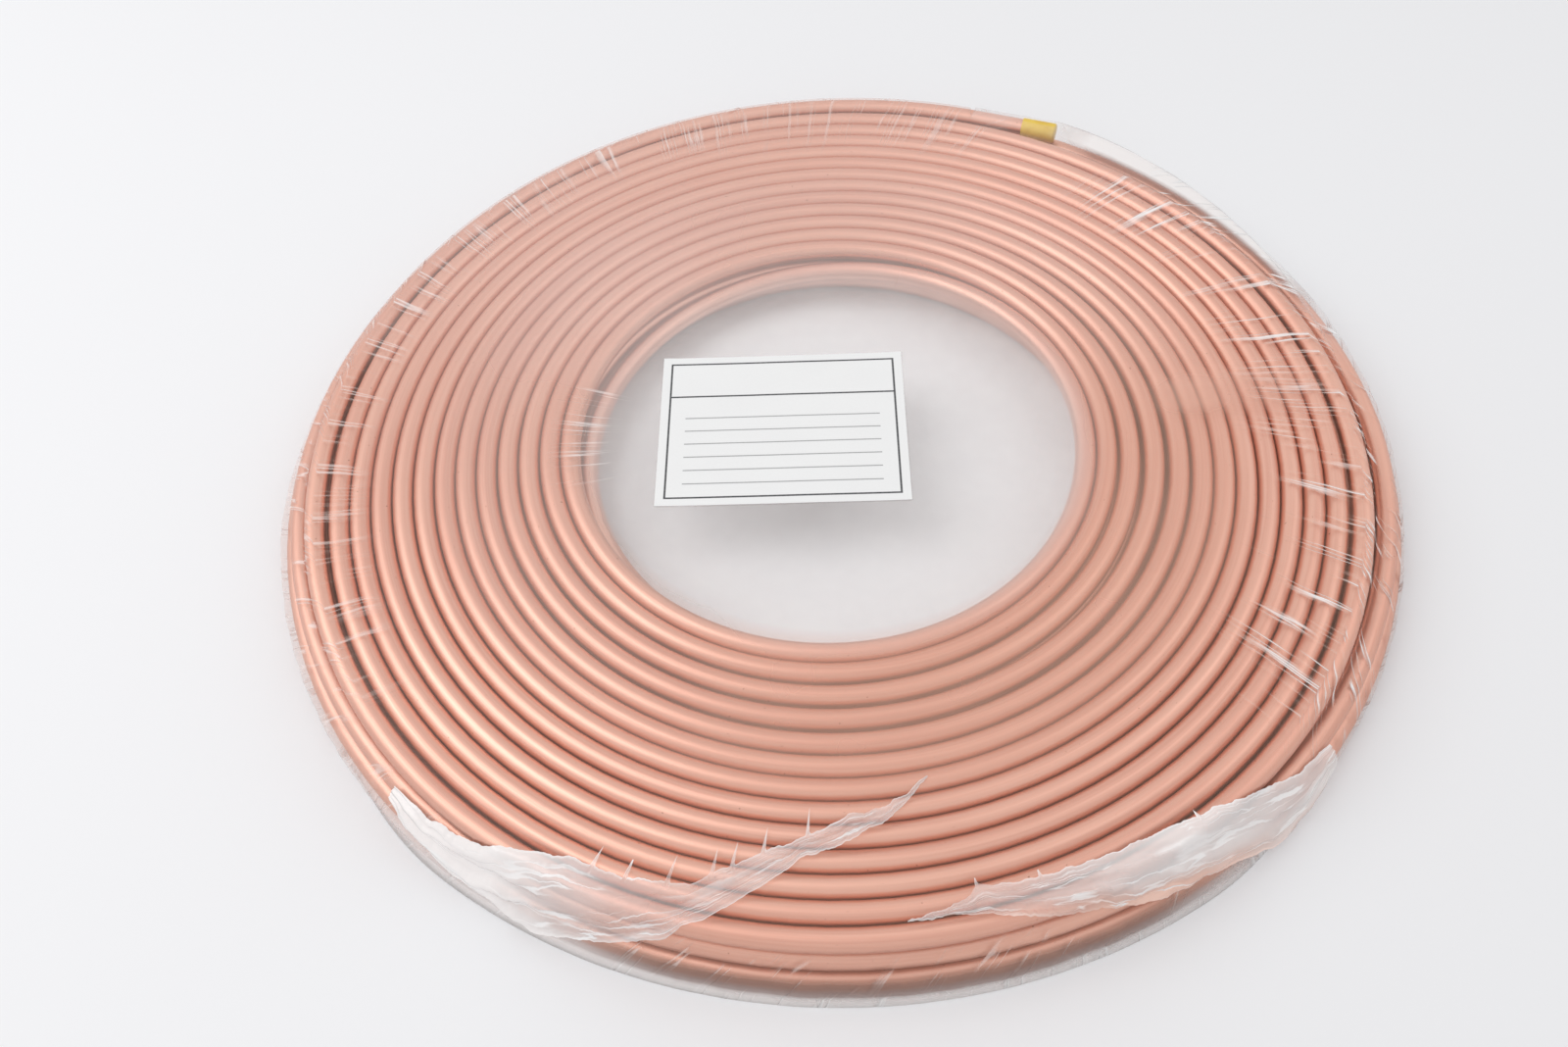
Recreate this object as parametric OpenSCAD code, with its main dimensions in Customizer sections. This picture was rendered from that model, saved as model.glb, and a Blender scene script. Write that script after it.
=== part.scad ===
// Coil of soft copper tube, wound flat in three layers, with its outer end capped, in a clear film wrap.
// The coil lies flat: its axis is Z, and the wrap's underside is at Z = 0.

/* [Tube] */
// Outside diameter of the tube
tube_d = 6.35; // [5:0.05:8]
// Wall of the tube
tube_wall = 0.61; // [0.4:0.01:1]
// Gap between one turn and the next
turn_gap = 0.15; // [0.1:0.01:0.3]

/* [Winding] */
// Radius to the middle of the tube in the widest turn
outer_r = 171.8; // [156:0.1:206]
// Turns in each of the two lower layers, one more than in the top layer
turns = 15; // [9:1:17]
// Gap between one layer and the next
layer_gap = 0.2; // [0.1:0.05:0.4]
// Depth of the groove between two turns
groove = 2.1; // [1.5:0.1:2.3]
// Direction in which the outer end of the tube leaves the coil
end_turn = 67; // [0:1:359]

/* [Outer end] */
// Bare length of the straight end, up to its cap
tail_bare = 20; // [19:0.5:30]
// Length of tube inside its cap
cap_depth = 11.5; // [6:0.5:20]
// Thickness of the cap's closed end
cap_end = 1.2; // [0.8:0.1:3]
// Wall of the cap
cap_wall = 0.4; // [0.3:0.05:0.5]
// Play of the cap on the tube
cap_play = 0.05; // [0.02:0.01:0.1]
// Rounding of the cap's closed end
cap_round = 0.8; // [0.3:0.1:1]

/* [Film wrap] */
// Thickness of the wrap
film_t = 0.3; // [0.2:0.05:0.5]
// Play between the wrap and what it holds
film_play = 0.5; // [0.3:0.05:1]

/* [Label] */
// Width of the label
label_w = 77; // [40:1:90]
// Height of the label
label_h = 60; // [30:1:70]
// Thickness of the label
label_t = 0.2; // [0.1:0.05:0.4]
// Place of the label's middle, to the right of the coil's axis
label_x = -16; // [-20:1:20]
// Place of the label's middle, beyond the coil's axis
label_y = 1; // [-20:1:20]
// Turn of the label in its plane
label_turn = -3; // [-30:1:30]

/* [Hidden] */

$fn = 96;
pitch = tube_d + turn_gap;
layer_rise = tube_d + layer_gap;
tube_r = tube_d / 2;
last = turns - 1;
top_turns = turns - 1;

// Heights of the tube's middle in the three layers
bottom_z = film_t + film_play + tube_r;
middle_z = bottom_z + layer_rise;
top_z = middle_z + layer_rise;
groove_up = tube_r - groove;

// The top layer ends one pitch inside the widest turn. It runs inwards by one pitch a turn, as two half
// turns about middles half a pitch apart
end_r = outer_r - pitch;
half_shift = pitch / 4;
top_r = end_r - half_shift;
middle_r = outer_r - pitch / 2;
inner_r = outer_r - last * pitch;
middle_inner_r = middle_r - last * pitch;

// A plinth on the lower layers carries the top layer, clear of its two outermost and innermost turns
plinth_r = end_r - 2.75 * pitch;
plinth_bore_r = inner_r + 1.75 * pitch;
plinth_z = top_z - tube_r / 2;
bed_z = plinth_z - groove_up / 2;

tail_len = tail_bare + cap_depth;
cap_r = tube_r + cap_play + cap_wall;
cap_len = cap_depth + cap_end;

// The wrap is a bag with room for the capped end, taut from there down to the widest turn
film_round = tube_r + film_play + film_t;
film_h = top_z + film_round;
cap_reach = norm([end_r, tail_bare + cap_len]);
bag_r = cap_reach + cap_r - tube_r;
side = [top_z - bottom_z, outer_r - bag_r];
outwards = side / norm(side);

// One row of round tube sections, from the widest turn inwards
module tube_row(widest, z, count) {
    for (k = [0 : count - 1])
        translate([widest - k * pitch, z])
            circle(r = tube_r);
}

// Section of the two lower layers, closed between its turns
module body_section() {
    tube_row(outer_r, bottom_z, turns);
    for (r = [middle_r, middle_inner_r])
        translate([r, middle_z])
            circle(r = tube_r);
    polygon([
        [inner_r, bottom_z - groove_up],
        [outer_r, bottom_z - groove_up],
        [outer_r, bottom_z],
        [middle_r, middle_z],
        [middle_r, middle_z + groove_up],
        [plinth_r, middle_z + groove_up],
        [plinth_r, plinth_z],
        [plinth_bore_r, plinth_z],
        [plinth_bore_r, middle_z + groove_up],
        [middle_inner_r, middle_z + groove_up],
        [middle_inner_r, middle_z],
        [inner_r, bottom_z]
    ]);
}

// Section of the top layer, closed between its turns and flat where it lies on the plinth
module top_section(widest) {
    width = (top_turns - 1) * pitch;
    bed_w = width - 3 * pitch;
    difference() {
        union() {
            tube_row(widest, top_z, top_turns);
            translate([widest - width, top_z - groove_up])
                square([width, 2 * groove_up]);
            translate([widest - width + 1.5 * pitch, bed_z])
                square([bed_w, top_z - bed_z]);
        }
        translate([widest - width + 1.5 * pitch, bed_z - tube_r])
            square([bed_w, tube_r]);
    }
}

// Half a turn of the top layer
module top_half(middle_x, widest, start) {
    translate([middle_x, 0, 0])
        rotate([0, 0, start])
            rotate_extrude(angle = 180)
                top_section(widest);
}

// Place and direction of the straight outer end, along +Z
module at_outer_end(along) {
    rotate([0, 0, end_turn])
        translate([end_r, -along, top_z])
            rotate([90, 0, 0])
                children();
}

module tube_coil() {
    color("#dba58f")
        difference() {
            union() {
                rotate_extrude()
                    body_section();
                rotate([0, 0, end_turn]) {
                    top_half(half_shift, top_r, 0);
                    top_half(-half_shift, top_r - pitch / 2, 180);
                }
                at_outer_end(0)
                    cylinder(r = tube_r, h = tail_len);
            }
            at_outer_end(tail_len / 4)
                cylinder(r = tube_r - tube_wall, h = tail_len);
        }
}

module outer_end_cap() {
    color("#dab43c")
        at_outer_end(tail_bare)
            rotate_extrude()
                difference() {
                    union() {
                        square([cap_r, cap_len - cap_round]);
                        square([cap_r - cap_round, cap_len]);
                        translate([cap_r - cap_round, cap_len - cap_round])
                            circle(r = cap_round);
                    }
                    square([cap_r - cap_wall, cap_depth]);
                    translate([-cap_r, 0])
                        square([cap_r, cap_len]);
                }
}

// Half section of the bag, rounded off by this much
module bag_section(round) {
    polygon([
        [0, bottom_z - round],
        [outer_r, bottom_z - round],
        [outer_r, bottom_z],
        [outer_r, bottom_z] + round * outwards,
        [bag_r, top_z] + round * outwards,
        [bag_r, top_z],
        [bag_r, top_z + round],
        [0, top_z + round]
    ]);
    for (middle = [[outer_r, bottom_z], [bag_r, top_z]])
        translate(middle)
            circle(r = round);
}

module film_wrap() {
    color("#e9eef0", 0.25)
        rotate_extrude()
            difference() {
                bag_section(film_round);
                bag_section(film_round - film_t);
            }
}

module label() {
    color("white")
        translate([label_x, label_y, film_h])
            rotate([0, 0, label_turn])
                translate([-label_w / 2, -label_h / 2, 0])
                    cube([label_w, label_h, label_t]);
}

tube_coil();
outer_end_cap();
film_wrap();
label();
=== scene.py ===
"""Looks of a copper tube coil, wound flat in three layers and wrapped in clear film."""

import logging
import math
from collections.abc import Callable, Sequence
from dataclasses import dataclass, field
from enum import Enum
from typing import NamedTuple

import bpy
import numpy as np
from mathutils import Matrix, Vector, noise


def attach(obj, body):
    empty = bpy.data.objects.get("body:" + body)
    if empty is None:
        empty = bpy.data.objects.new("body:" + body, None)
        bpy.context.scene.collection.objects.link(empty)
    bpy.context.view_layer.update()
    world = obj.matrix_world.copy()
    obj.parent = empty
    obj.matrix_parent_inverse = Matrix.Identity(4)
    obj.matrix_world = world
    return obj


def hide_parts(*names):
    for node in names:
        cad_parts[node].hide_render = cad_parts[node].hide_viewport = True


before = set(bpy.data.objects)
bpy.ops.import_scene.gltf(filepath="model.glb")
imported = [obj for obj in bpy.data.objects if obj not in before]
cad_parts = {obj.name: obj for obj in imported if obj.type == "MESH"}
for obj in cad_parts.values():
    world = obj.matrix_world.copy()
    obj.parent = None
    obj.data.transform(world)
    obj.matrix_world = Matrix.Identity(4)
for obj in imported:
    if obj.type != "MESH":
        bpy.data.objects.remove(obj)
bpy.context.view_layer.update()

LOG = logging.getLogger("copper_tube_coil")
MM = 0.001
BODY = "root"
FULL_TURN = 2 * math.pi

Point = tuple[float, float]
Place = Callable[[float, float], Vector]
Colour = tuple[float, float, float]
Piece = bpy.types.Object
Material = bpy.types.Material


class Slot(Enum):
    """Material slots of the part."""

    COPPER = "copper"
    CAP = "cap_plastic"
    FILM = "clear_film"
    PAPER = "label_paper"


class Layer(Enum):
    """Layers of the winding, from the floor up."""

    BOTTOM = 0
    MIDDLE = 1
    TOP = 2


def smooth_step(low: float, high: float, value: float) -> float:
    """Eases from 0 where the value is at low to 1 where it is at high, which may be the smaller one."""
    share = min(max((value - low) / (high - low), 0.0), 1.0)
    return share * share * (3 - 2 * share)


@dataclass(frozen=True)
class Stretch:
    """A stretch of directions in degrees, or of radii or heights in millimetres, that fades at its ends."""

    start: float
    end: float
    soft: float
    strength: float = 1.0

    def at(self, value: float) -> float:
        """Strength at a value, which is full from start to end; directions go round the circle."""
        half = (self.end - self.start) / 2
        away = abs((value - self.start - half + 180) % 360 - 180)
        return self.strength * (1 - smooth_step(half, half + self.soft, away))


@dataclass(frozen=True)
class Ramp:
    """A rise from 0 at low to 1 at high, or a fall where high is the smaller one."""

    low: float
    high: float

    def at(self, value: float) -> float:
        """Share that is risen at a value."""
        return smooth_step(self.low, self.high, value)


class Spot(NamedTuple):
    """A point of the film: its direction in degrees, and its radius and height in millimetres."""

    degrees: float
    radius: float
    height: float

    @classmethod
    def of(cls, point: Vector) -> "Spot":
        """The spot of a point in metres."""
        degrees = math.degrees(math.atan2(point.y, point.x)) % 360
        return cls(degrees, math.hypot(point.x, point.y) / MM, point.z / MM)


@dataclass(frozen=True)
class Patch:
    """A patch of the film that fades at its edges, within some directions and some radii or heights."""

    directions: Stretch
    radii: Stretch | Ramp | None = None
    heights: Stretch | Ramp | None = None

    def at(self, spot: Spot) -> float:
        """Strength of the patch at a point."""
        in_radius = self.radii.at(spot.radius) if self.radii else 1.0
        in_height = self.heights.at(spot.height) if self.heights else 1.0
        return self.directions.at(spot.degrees) * in_radius * in_height


def polar(radius: float, angle: float, height: float) -> Vector:
    """A point in metres, from its radius and height in millimetres and its direction in radians."""
    return Vector((radius * math.cos(angle), radius * math.sin(angle), height)) * MM


def start_fresh() -> None:
    """Leaves nothing selected, in object mode."""
    if bpy.context.object and bpy.context.object.mode != "OBJECT":
        bpy.ops.object.mode_set(mode="OBJECT")
    bpy.ops.object.select_all(action="DESELECT")


def focus(piece: Piece) -> None:
    """Selects one piece alone and makes it the active one."""
    start_fresh()
    piece.select_set(True)
    bpy.context.view_layer.objects.active = piece


def edit_all(piece: Piece) -> None:
    """Opens a piece in edit mode with all of it selected."""
    focus(piece)
    bpy.ops.object.mode_set(mode="EDIT")
    bpy.ops.mesh.select_all(action="SELECT")


def apply_modifier(piece: Piece, kind: str, **settings: object) -> None:
    """Adds a modifier and applies it.

    Args:
        piece: Object that gets it.
        kind: The modifier's type.
        settings: Its properties.
    """
    focus(piece)
    modifier = piece.modifiers.new(kind.lower(), kind)
    for key, value in settings.items():
        setattr(modifier, key, value)
    bpy.ops.object.modifier_apply(modifier=modifier.name)


def shade(piece: Piece, angle: float = 40.0) -> None:
    """Smooths a piece's shading up to an angle, in degrees."""
    focus(piece)
    bpy.ops.object.shade_smooth_by_angle(angle=math.radians(angle))


def grid_sheet(name: str, across: int, along: int, place: Place) -> Piece:
    """Adds a grid and puts each of its points where a function says.

    Args:
        name: The new object's name.
        across: Faces along the first share.
        along: Faces along the second share.
        place: Gives a point from its two shares, each from 0 to 1.

    Returns:
        The new sheet, with shared seams and poles merged.
    """
    start_fresh()
    bpy.ops.mesh.primitive_grid_add(x_subdivisions=across, y_subdivisions=along, size=1.0)
    sheet = bpy.context.active_object
    sheet.name = sheet.data.name = name
    for vertex in sheet.data.vertices:
        vertex.co = place(vertex.co.x + 0.5, vertex.co.y + 0.5)
    edit_all(sheet)
    bpy.ops.mesh.remove_doubles(threshold=1e-7)
    bpy.ops.object.mode_set(mode="OBJECT")
    return sheet


def set_values(piece: Piece, name: str, values: Sequence[float]) -> None:
    """Stores one number a point on a piece, for its finish to read."""
    attribute = piece.data.attributes.new(name, "FLOAT", "POINT")
    attribute.data.foreach_set("value", np.asarray(values, dtype=np.float32))


def hand_over(
    piece: Piece,
    material: Material,
    slot: Slot,
    nodes: Sequence[str] = (),
) -> None:
    """Dresses a piece and fixes it to the part. Clear film throws no shadow.

    Args:
        piece: The finished object.
        material: Its finish.
        slot: The part's material slot.
        nodes: Solids of the part that it stands for.
    """
    piece.data.materials.clear()
    piece.data.materials.append(material)
    piece.visible_shadow = slot is not Slot.FILM
    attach(piece, BODY)
    if nodes:
        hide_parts(*nodes)
    LOG.info("%s: %d points", piece.name, len(piece.data.vertices))


class Wire:
    """A shader value that Python arithmetic works on."""

    def __init__(self, net: "Net", socket: bpy.types.NodeSocket) -> None:
        """Wraps a socket of a net."""
        self.net = net
        self.socket = socket

    def _with(self, operation: str, *values: "Wire | float") -> "Wire":
        """Adds one Math node on these values, and gives its result."""
        inputs = dict(enumerate(values))
        return self.net.add("ShaderNodeMath", {"operation": operation}, inputs)[0]

    def __add__(self, other: "Wire | float") -> "Wire":
        """Sum."""
        return self._with("ADD", self, other)

    __radd__ = __add__

    def __sub__(self, other: "Wire | float") -> "Wire":
        """Difference."""
        return self._with("SUBTRACT", self, other)

    def __rsub__(self, other: "Wire | float") -> "Wire":
        """Difference from a number."""
        return self._with("SUBTRACT", other, self)

    def __mul__(self, other: "Wire | float") -> "Wire":
        """Product."""
        return self._with("MULTIPLY", self, other)

    __rmul__ = __mul__

    def __abs__(self) -> "Wire":
        """Size without sign."""
        return self._with("ABSOLUTE", self)

    def root(self) -> "Wire":
        """Square root."""
        return self._with("SQRT", self)

    def least(self, other: "Wire | float") -> "Wire":
        """The smaller of two values."""
        return self._with("MINIMUM", self, other)

    def most(self, other: "Wire | float") -> "Wire":
        """The larger of two values."""
        return self._with("MAXIMUM", self, other)

    def step(self, low: float, high: float) -> "Wire":
        """Eases from 0 at low to 1 at high."""
        inputs = {"Value": self, "From Min": low, "From Max": high}
        return self.net.add("ShaderNodeMapRange", {"interpolation_type": "SMOOTHSTEP"}, inputs)["Result"]


class Made:
    """A node that has just been made, with its outputs as wires."""

    def __init__(self, net: "Net", node: bpy.types.Node) -> None:
        """Keeps a node of a net."""
        self.net = net
        self.node = node

    def __getitem__(self, key: str | int) -> Wire:
        """Output by name or number."""
        return Wire(self.net, self.node.outputs[key])


class Net:
    """The node tree of one finish, or of the room."""

    def __init__(self, owner: Material | bpy.types.World, end: str) -> None:
        """Empties an owner's tree and gives it an output node.

        Args:
            owner: The material or the world.
            end: Type of the output node.
        """
        owner.use_nodes = True
        self.owner = owner
        self.tree = owner.node_tree
        self.tree.nodes.clear()
        self.end = self.add(end).node

    @classmethod
    def finish(cls, name: str) -> "Net":
        """Starts a new material."""
        return cls(bpy.data.materials.new(name), "ShaderNodeOutputMaterial")

    @classmethod
    def room(cls, name: str) -> "Net":
        """Starts a new world."""
        return cls(bpy.data.worlds.new(name), "ShaderNodeOutputWorld")

    def add(
        self,
        kind: str,
        settings: dict[str, object] | None = None,
        inputs: dict[str | int, object] | None = None,
    ) -> Made:
        """Makes one node.

        Args:
            kind: The node's type.
            settings: Its own properties, set first.
            inputs: Values or wires of its sockets, by name or number.

        Returns:
            The node.
        """
        node = self.tree.nodes.new(kind)
        for key, value in (settings or {}).items():
            setattr(node, key, value)
        for key, value in (inputs or {}).items():
            if isinstance(value, Wire):
                self.tree.links.new(value.socket, node.inputs[key])
            else:
                node.inputs[key].default_value = value
        return Made(self, node)

    def noise(self, where: Wire, scale: float, detail: float = 2.0) -> Wire:
        """Cloudy values about a half, at a scale in blobs a unit."""
        inputs = {"Vector": where, "Scale": scale, "Detail": detail}
        return self.add("ShaderNodeTexNoise", None, inputs)[0]

    def vector(self, x: Wire | float, y: Wire | float, z: Wire | float) -> Wire:
        """A vector from three values."""
        return self.add("ShaderNodeCombineXYZ", None, {0: x, 1: y, 2: z})[0]

    def split(self, vector: Wire) -> tuple[Wire, Wire, Wire]:
        """The three values of a vector."""
        parts = self.add("ShaderNodeSeparateXYZ", None, {0: vector})
        return parts[0], parts[1], parts[2]

    def blend(self, share: Wire | float, first: Wire | Colour, second: Wire | Colour) -> Wire:
        """Goes from one colour to another.

        Args:
            share: 0 for the first colour, 1 for the second.
            first: A colour.
            second: A colour.

        Returns:
            The mixed colour.
        """
        pair = [c if isinstance(c, Wire) else (*c, 1.0) for c in (first, second)]
        inputs = {0: share, 6: pair[0], 7: pair[1]}
        return self.add("ShaderNodeMix", {"data_type": "RGBA"}, inputs)[2]

    def attribute(self, name: str) -> Wire:
        """A number stored on the piece."""
        return self.add("ShaderNodeAttribute", {"attribute_name": name})["Fac"]

    def object_point(self) -> Wire:
        """The point's place in the part's frame, in metres."""
        return self.add("ShaderNodeTexCoord")["Object"]

    def uv(self) -> tuple[Wire, Wire]:
        """The two shares of a sheet's point."""
        return self.split(self.add("ShaderNodeTexCoord")["UV"])[:2]

    def bump(self, height: Wire, depth: float, strength: float = 1.0) -> Wire:
        """The normal bent by a relief from 0 to 1, of a depth in metres, of which a share shows."""
        inputs = {"Strength": strength, "Distance": depth, "Height": height}
        return self.add("ShaderNodeBump", None, inputs)[0]

    def show(self, shader: Wire) -> None:
        """Leads a shader to the output."""
        self.tree.links.new(shader.socket, self.end.inputs["Surface"])

    def close(self, inputs: dict[str | int, object]) -> Material:
        """Ends the tree in one Principled shader with these values or wires, and gives the material."""
        self.show(self.add("ShaderNodeBsdfPrincipled", None, inputs)[0])
        return self.owner


@dataclass(frozen=True)
class CopperFinish:
    """Soft drawn copper: satin, pale, with fine marks along the tube."""

    bright: Colour = (0.79, 0.468, 0.365)
    dull: Colour = (0.70, 0.378, 0.292)
    stain: Colour = (0.30, 0.13, 0.09)
    roughness: float = 0.42
    roughness_spread: float = 0.12
    mark_depth: float = 0.00003

    def material(self) -> Material:
        """Makes the finish.

        Returns:
            The material.
        """
        net = Net.finish("satin_copper")
        here = net.object_point()
        x, y, z = net.split(here)
        radius = (x * x + y * y).root()
        run = net.attribute("along")
        marks = net.noise(net.vector(run * 12.0, radius * 1800.0, z * 1800.0), 1.0, 3.0)
        patches = net.noise(net.vector(run * 9.0, radius * 160.0, z * 160.0), 1.0, 3.0)
        cloud = net.noise(here, 14.0, 2.0)
        specks = net.noise(here, 900.0, 1.0).step(0.76, 0.82)
        tone = (patches * 0.6 + marks * 0.4).step(0.34, 0.70)
        colour = net.blend(tone, self.bright, self.dull)
        colour = net.blend(cloud.step(0.55, 0.8) * 0.25, colour, self.dull)
        colour = net.blend(specks * 0.8, colour, self.stain)
        rough = (marks - 0.5) * self.roughness_spread + (patches - 0.5) * 0.12 + self.roughness
        return net.close(
            {
                "Base Color": colour,
                "Metallic": 1.0,
                "Roughness": rough,
                "Normal": net.bump(marks, self.mark_depth, 0.5),
            }
        )


@dataclass(frozen=True)
class FilmFinish:
    """Clear plastic film, hazy where it is slack and white along its creases."""

    name: str = "clear_film"
    colour: Colour = (0.93, 0.93, 0.935)
    # Painted bounce light: the copper's colour the film takes over the copper, standing in for light bounced
    # up from it.
    warm: Colour = (0.90, 0.53, 0.40)
    # Painted shade: the dark brown the film takes low on the near rim, where the copper's underside lies in
    # shade.
    painted_shade_colour: Colour = (0.20, 0.09, 0.06)
    roughness: float = 0.14
    clear: float = 0.02
    haze: float = 0.62
    line: float = 0.8
    strands: float = 330.0
    strand_rows: float = 2.5
    dash: float = 0.45
    dash_rows: float = 7.0
    folds: float = 120.0
    fold_rows: float = 4.0
    fold_cover: float = 0.07
    skew: float = 0.06
    drift: float = 0.003
    thin: float = 0.055
    cloud: float = 60.0
    relief: float = 0.0004

    @classmethod
    def torn(cls) -> "FilmFinish":
        """The finish of a torn end: whiter, with long folds over all of it."""
        folds = {"folds": 6.0, "fold_rows": 4.0, "fold_cover": 0.8, "relief": 0.0002}
        lines = {"strands": 6.0, "strand_rows": 9.0, "dash": 0.8, "dash_rows": 6.0}
        return cls("torn_film", roughness=0.1, haze=0.85, skew=0.0, drift=0.06, **folds, **lines)

    def material(self) -> Material:
        """Makes the finish.

        Returns:
            The material.
        """
        net = Net.finish(self.name)
        here = net.object_point()
        across, along = net.uv()
        haze = net.attribute("haze")
        crease = net.attribute("crease")
        place = across + along * self.skew + (net.noise(here, 45.0, 2.0) - 0.5) * self.drift
        strand = net.noise(net.vector(place * self.strands, along * self.strand_rows, 0.0), 1.0, 1.0)
        dashes = net.vector(place * (self.strands * self.dash), along * self.dash_rows, 7.0)
        fold = net.noise(net.vector(place * self.folds, along * self.fold_rows, 4.0), 1.0, 2.0)
        lines = (1 - abs(strand - 0.5).step(0.0, self.thin)) * net.noise(dashes, 1.0, 2.0).step(0.46, 0.6)
        broad = fold.step(0.54, 0.80) * self.fold_cover
        cloud = net.noise(here, self.cloud, 2.0).step(0.25, 0.75)
        veil = haze * (cloud * 0.1 + 0.8)
        cover = (veil * self.haze + (lines + broad) * crease * self.line + self.clear).least(0.95)
        relief = (fold + lines) * crease + cloud * 0.02
        # Painted bounce light from the copper tints the film, less on its creases.
        painted_bounce_share = net.attribute("warmth") * (1 - lines * crease)
        colour = net.blend(painted_bounce_share, self.colour, self.warm)
        return net.close(
            {
                # Painted shade darkens the film where its shade attribute is high.
                "Base Color": net.blend(net.attribute("shade"), colour, self.painted_shade_colour),
                "Roughness": self.roughness,
                "IOR": 1.48,
                "Alpha": cover,
                "Normal": net.bump(relief, self.relief, 0.7),
            }
        )


@dataclass(frozen=True)
class PaperFinish:
    """White label paper with a ruled blank form."""

    paper: Colour = (0.87, 0.87, 0.87)
    shade: Colour = (0.82, 0.82, 0.825)
    ink: Colour = (0.02, 0.02, 0.025)
    width: float = 77.0
    height: float = 60.0
    margin: float = 2.9
    line: float = 0.62
    header: float = 43.2
    row_first: float = 8.2
    row_pitch: float = 5.2
    row_count: int = 6
    row_line: float = 0.42
    row_ink: float = 0.6
    row_margin: float = 8.0

    def rule(self, up: Wire, height: float, line: float) -> Wire:
        """A level line at a height on the paper, in millimetres."""
        return 1 - abs(up - height).step(line * 0.35, line * 0.65)

    def material(self) -> Material:
        """Makes the finish.

        Returns:
            The material.
        """
        net = Net.finish("label_paper")
        here = net.object_point()
        across, up = net.uv()
        right = across * self.width
        high = up * self.height
        side = right.least(self.width - right)
        edge = side.least(high.least(self.height - high))
        within = side.step(self.margin - 0.1, self.margin + 0.1)
        inked = self.rule(edge, self.margin, self.line)
        inked = inked.most(self.rule(high, self.header, self.line) * within)
        held_in = side.step(self.row_margin - 0.1, self.row_margin + 0.1) * self.row_ink
        for row in range(self.row_count):
            level = self.row_first + row * self.row_pitch
            inked = inked.most(self.rule(high, level, self.row_line) * held_in)
        fibre = net.noise(here, 1500.0, 4.0)
        tone = (fibre + net.noise(here, 60.0, 3.0)) * 0.5
        paper = net.blend(tone.step(0.3, 0.75) * 0.5, self.paper, self.shade)
        return net.close(
            {
                "Base Color": net.blend(inked * (fibre * 0.3 + 0.8).least(1.0), paper, self.ink),
                "Roughness": 0.62 - inked * 0.15,
                "Normal": net.bump(fibre, 0.00003, 0.6),
            }
        )


@dataclass(frozen=True)
class CapFinish:
    """Soft yellow moulded plastic."""

    light: Colour = (0.80, 0.56, 0.08)
    deep: Colour = (0.70, 0.44, 0.05)

    def material(self) -> Material:
        """Makes the finish.

        Returns:
            The material.
        """
        net = Net.finish("yellow_cap_plastic")
        here = net.object_point()
        cloud = net.noise(here, 220.0, 3.0)
        scuff = net.noise(here, 1400.0, 3.0)
        return net.close(
            {
                "Base Color": net.blend(cloud.step(0.35, 0.7), self.light, self.deep),
                "Roughness": 0.36 + scuff * 0.2,
                "IOR": 1.5,
                "Normal": net.bump(scuff, 0.00006, 0.5),
            }
        )


@dataclass(frozen=True)
class FloorFinish:
    """Pale matt studio floor."""

    colour: Colour = (0.88, 0.882, 0.90)

    def material(self) -> Material:
        """Makes the finish.

        Returns:
            The material.
        """
        net = Net.finish("pale_floor")
        cloud = net.noise(net.object_point(), 3.0, 2.0)
        low = tuple(c * 0.985 for c in self.colour)
        return net.close({"Base Color": net.blend(cloud, self.colour, low), "Roughness": 0.9})


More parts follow.
